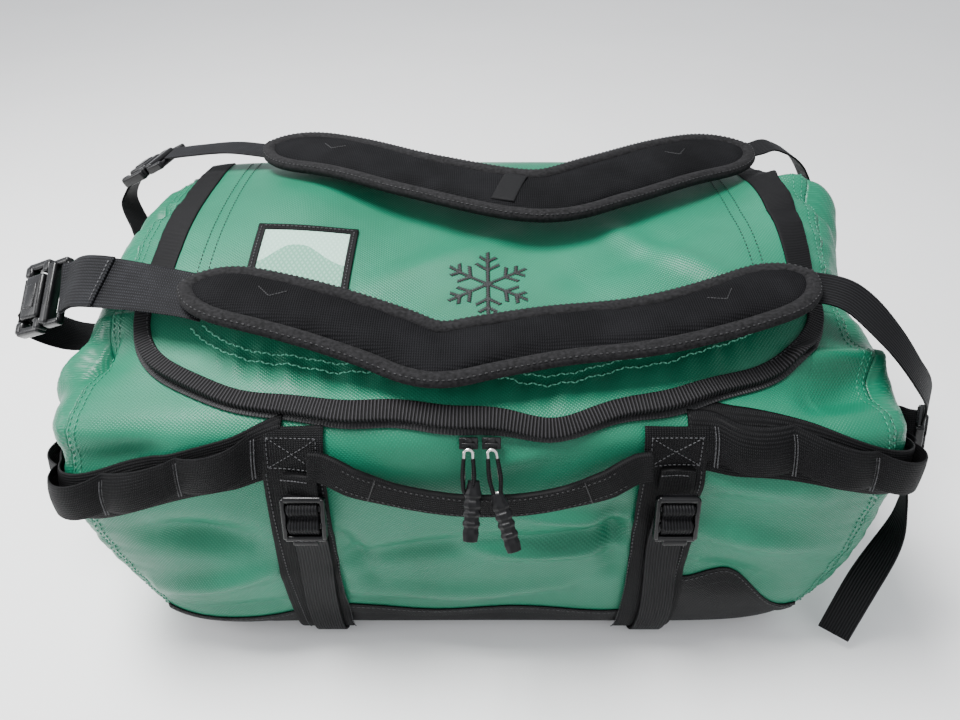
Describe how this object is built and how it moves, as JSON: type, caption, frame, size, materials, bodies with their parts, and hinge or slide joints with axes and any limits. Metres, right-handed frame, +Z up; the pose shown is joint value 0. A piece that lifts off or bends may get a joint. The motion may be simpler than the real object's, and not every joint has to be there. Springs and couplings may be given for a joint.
{
  "type": "duffel bag with backpack straps",
  "caption": "Coated-fabric duffel with a hinged D-shaped zip lid, padded shoulder straps, haul handles, daisy chains and compression straps.",
  "frame": {"origin": "on the floor, under the middle of the base panel", "axes": "+X along the bag to its right end, +Y to its rear, where the lid is hinged, +Z up"},
  "size_m": [0.7092, 0.4228, 0.3176],
  "materials": {
    "shell_green": "semi-gloss coated tarpaulin",
    "base_black": "satin coated ballistic cloth",
    "foam_grey": "closed-cell foam",
    "binding_black": "ribbed grosgrain",
    "zip_black": "woven zip tape with coil teeth",
    "window_film": "clear soft film",
    "card_pale": "pale card",
    "pad_black": "spacer mesh over foam",
    "steel": "polished wire",
    "plastic_black": "glossy moulded acetal",
    "webbing_black": "woven nylon webbing"
  },
  "bodies": {
    "bag": {"front_panel": "shell_green", "rear_panel": "shell_green", "surround_left": "shell_green", "surround_right": "shell_green", "end_panel_left": "shell_green", "end_panel_right": "shell_green", "base_panel": "base_black", "base_pad": "foam_grey", "zip_tape_body": "zip_black", "front_buckle_socket": "plastic_black", "front_buckle_plug": "plastic_black", "rear_buckle_socket": "plastic_black", "rear_buckle_plug": "plastic_black", "front_strap_lock": "plastic_black", "rear_strap_lock": "plastic_black", "daisy_chain_left": "webbing_black", "daisy_chain_right": "webbing_black", "front_anchor_webbing": "webbing_black", "front_strap_tail": "webbing_black", "rear_anchor_webbing": "webbing_black", "band_front_left": "webbing_black", "band_front_right": "webbing_black", "band_rear_left": "webbing_black", "band_rear_right": "webbing_black", "tab_front_left": "webbing_black", "tab_front_right": "webbing_black", "tab_rear_left": "webbing_black", "tab_rear_right": "webbing_black", "compression_strap_front_left": "webbing_black", "compression_strap_front_right": "webbing_black", "compression_strap_rear_left": "webbing_black", "compression_strap_rear_right": "webbing_black"},
    "lid": {"lid_panel": "shell_green", "lid_binding": "binding_black", "lid_tape_left": "binding_black", "lid_tape_right": "binding_black", "id_card": "card_pale", "id_window_film": "window_film", "id_window_frame": "binding_black", "zip_tape_lid": "zip_black"},
    "slider_left": {"zip_slider_left": "plastic_black"},
    "slider_right": {"zip_slider_right": "plastic_black"},
    "pull_left": {"zip_wire_left": "steel", "zip_grip_left": "plastic_black"},
    "pull_right": {"zip_wire_right": "steel", "zip_grip_right": "plastic_black"},
    "front_handle": {"front_handle": "webbing_black"},
    "rear_handle": {"rear_handle": "webbing_black"},
    "front_strap": {"front_pad": "pad_black", "front_top_webbing": "webbing_black", "front_lower_webbing": "webbing_black"},
    "rear_strap": {"rear_pad": "pad_black", "rear_top_webbing": "webbing_black", "rear_lower_webbing": "webbing_black"},
    "lock_front_left": {"ladder_lock_front_left": "plastic_black"},
    "lock_front_right": {"ladder_lock_front_right": "plastic_black"},
    "lock_rear_left": {"ladder_lock_rear_left": "plastic_black"},
    "lock_rear_right": {"ladder_lock_rear_right": "plastic_black"}
  },
  "joints": [
    {"name": "lid_hinge", "type": "hinge", "parent": "bag", "child": "lid", "pos_m": [0, 0.15317, 0.27852], "axis": [-1, 0, 0], "range_deg": [0, 100]},
    {"name": "front_strap_swing", "type": "hinge", "parent": "bag", "child": "front_strap", "pos_m": [0, -0.13, 0.17], "axis": [1, 0, 0], "range_deg": [0, 136], "deforming": ["front_pad", "front_top_webbing", "front_lower_webbing"]},
    {"name": "rear_strap_swing", "type": "hinge", "parent": "bag", "child": "rear_strap", "pos_m": [0, 0.12, 0.2], "axis": [-1, 0, 0], "range_deg": [0, 105], "deforming": ["rear_top_webbing", "rear_lower_webbing"]},
    {"name": "zip_slide_left", "type": "slide", "parent": "bag", "child": "slider_left", "axis": [-1, 0, 0], "range_m": [0, 0.085]},
    {"name": "zip_slide_right", "type": "slide", "parent": "bag", "child": "slider_right", "axis": [1, 0, 0], "range_m": [0, 0.085]},
    {"name": "zip_pull_left_swing", "type": "hinge", "parent": "slider_left", "child": "pull_left", "pos_m": [-0.0075, -0.17922, 0.24007], "axis": [-1, 0, 0], "range_deg": [0, 70]},
    {"name": "zip_pull_right_swing", "type": "hinge", "parent": "slider_right", "child": "pull_right", "pos_m": [0.0075, -0.17922, 0.24007], "axis": [-1, 0, 0], "range_deg": [0, 70]},
    {"name": "front_handle_lift", "type": "hinge", "parent": "bag", "child": "front_handle", "pos_m": [0, -0.18691, 0.235], "axis": [-1, 0, 0], "range_deg": [0, 85]},
    {"name": "rear_handle_drop", "type": "hinge", "parent": "bag", "child": "rear_handle", "pos_m": [0, 0.19156, 0.212], "axis": [-1, 0, 0], "range_deg": [0, 150]},
    {"name": "lock_front_left_tilt", "type": "hinge", "parent": "bag", "child": "lock_front_left", "pos_m": [-0.131, -0.18604, 0.20042], "axis": [-1, 0, 0], "range_deg": [0, 50]},
    {"name": "lock_front_right_tilt", "type": "hinge", "parent": "bag", "child": "lock_front_right", "pos_m": [0.131, -0.18604, 0.20042], "axis": [-1, 0, 0], "range_deg": [0, 50]},
    {"name": "lock_rear_left_tilt", "type": "hinge", "parent": "bag", "child": "lock_rear_left", "pos_m": [-0.131, 0.19281, 0.15205], "axis": [1, 0, 0], "range_deg": [0, 50]},
    {"name": "lock_rear_right_tilt", "type": "hinge", "parent": "bag", "child": "lock_rear_right", "pos_m": [0.131, 0.19281, 0.15205], "axis": [1, 0, 0], "range_deg": [0, 50]}
  ],
  "couplings": [
    {"joint": "front_strap_swing", "follows": "lid_hinge", "ratio": 1.36},
    {"joint": "rear_strap_swing", "follows": "lid_hinge", "ratio": 1.05},
    {"joint": "zip_pull_left_swing", "follows": "front_handle_lift", "ratio": 0.8},
    {"joint": "zip_pull_right_swing", "follows": "front_handle_lift", "ratio": 0.8}
  ]
}
